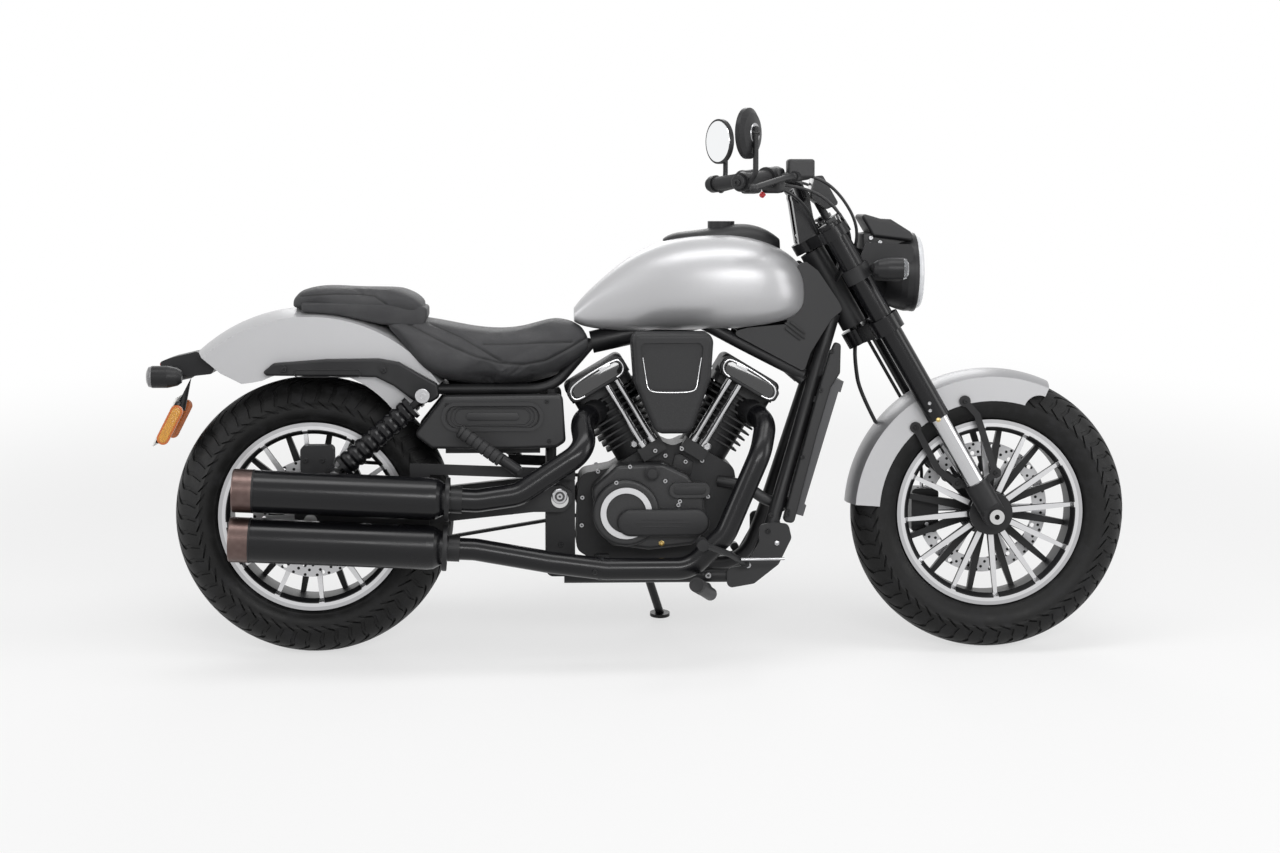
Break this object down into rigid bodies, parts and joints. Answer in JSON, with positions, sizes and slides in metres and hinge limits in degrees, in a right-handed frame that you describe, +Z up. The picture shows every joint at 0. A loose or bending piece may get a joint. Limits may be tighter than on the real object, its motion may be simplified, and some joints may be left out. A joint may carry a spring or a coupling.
{
  "type": "cruiser motorcycle",
  "caption": "Cruiser motorcycle with an air-cooled V-twin engine, belt drive, cast wheels, a low saddle and side stand, leaning on the stand.",
  "frame": {"origin": "on the road, at the middle of the bounding box", "axes": "+X towards the front of the machine, +Y to its left, +Z up from the road; the machine leans to its left on its stand"},
  "size_m": [2.2489, 0.9324, 1.2902],
  "materials": {
    "paint_satin_grey": "satin",
    "paint_black": "satin",
    "engine_black": "satin",
    "chrome": "polished",
    "steel": "brushed",
    "aluminium": "machined",
    "tyre": "matte",
    "rubber": "matte",
    "leather": "matte",
    "plastic_black": "matte",
    "clear_lens": "clear",
    "display_black": "gloss",
    "plate_white": "satin"
  },
  "bodies": {
    "chassis": {"air_cleaner": "engine_black", "cylinders": "engine_black", "drive_belt": "rubber", "electrics_box": "plastic_black", "engine_crankcase": "engine_black", "exhaust_headers": "paint_black", "fender_struts": "paint_black", "foot_controls": "paint_black", "frame": "paint_black", "frame_covers": "plastic_black", "fuel_tank": "paint_satin_grey", "left_engine_covers": "engine_black", "mufflers": "paint_black", "number_plate": "plate_white", "pillion_seat": "leather", "plate_holder": "plastic_black", "pushrod_tubes": "chrome", "radiator": "aluminium", "radiator_shroud": "plastic_black", "rear_axle": "steel", "rear_caliper": "paint_black", "rear_fender": "paint_satin_grey", "rear_hangers": "paint_black", "rear_lenses": "clear_lens", "rider_seat": "leather", "right_engine_cover": "engine_black", "rocker_covers": "engine_black", "shock_bodies": "paint_black", "shock_springs": "paint_black", "side_covers": "paint_black", "swingarm": "paint_black", "tail_lamp": "paint_black", "tank_console": "paint_black", "throttle_body": "aluminium"},
    "steering": {"steering_yokes": "paint_black", "fork_upper_legs": "paint_black", "fork_lower_legs": "chrome", "fork_feet": "paint_black", "front_axle": "steel", "front_fender": "paint_satin_grey", "fender_stays": "paint_black", "handlebar": "paint_black", "grips": "rubber", "hand_controls": "plastic_black", "mirrors": "paint_black", "headlamp_shell": "paint_black", "front_lenses": "clear_lens", "cowl_and_display": "display_black", "front_signals": "plastic_black", "front_caliper": "paint_black", "brake_hose": "rubber"},
    "front_wheel": {"front_wheel": "aluminium", "front_tyre": "tyre", "front_disc": "steel"},
    "rear_wheel": {"rear_wheel": "aluminium", "rear_tyre": "tyre", "rear_disc": "steel"},
    "stand": {"side_stand": "paint_black"}
  },
  "joints": [
    {"name": "steering", "type": "hinge", "parent": "chassis", "child": "steering", "pos_m": [0.42719, -0.02927, 0.83123], "axis": [-0.5, 0.1355, 0.8554], "range_deg": [-35, 35]},
    {"name": "front_wheel_spin", "type": "hinge", "parent": "steering", "child": "front_wheel", "pos_m": [0.79132, -0.11073, 0.31695], "axis": [0, 0.9877, -0.1564], "continuous": true},
    {"name": "rear_wheel_spin", "type": "hinge", "parent": "chassis", "child": "rear_wheel", "pos_m": [-0.77368, -0.11071, 0.31705], "axis": [0, 0.9877, -0.1564], "continuous": true},
    {"name": "stand_pivot", "type": "hinge", "parent": "chassis", "child": "stand", "pos_m": [-0.01368, 0.00243, 0.18117], "axis": [0, 0.9114, 0.4115], "range_deg": [0, 97]}
  ]
}
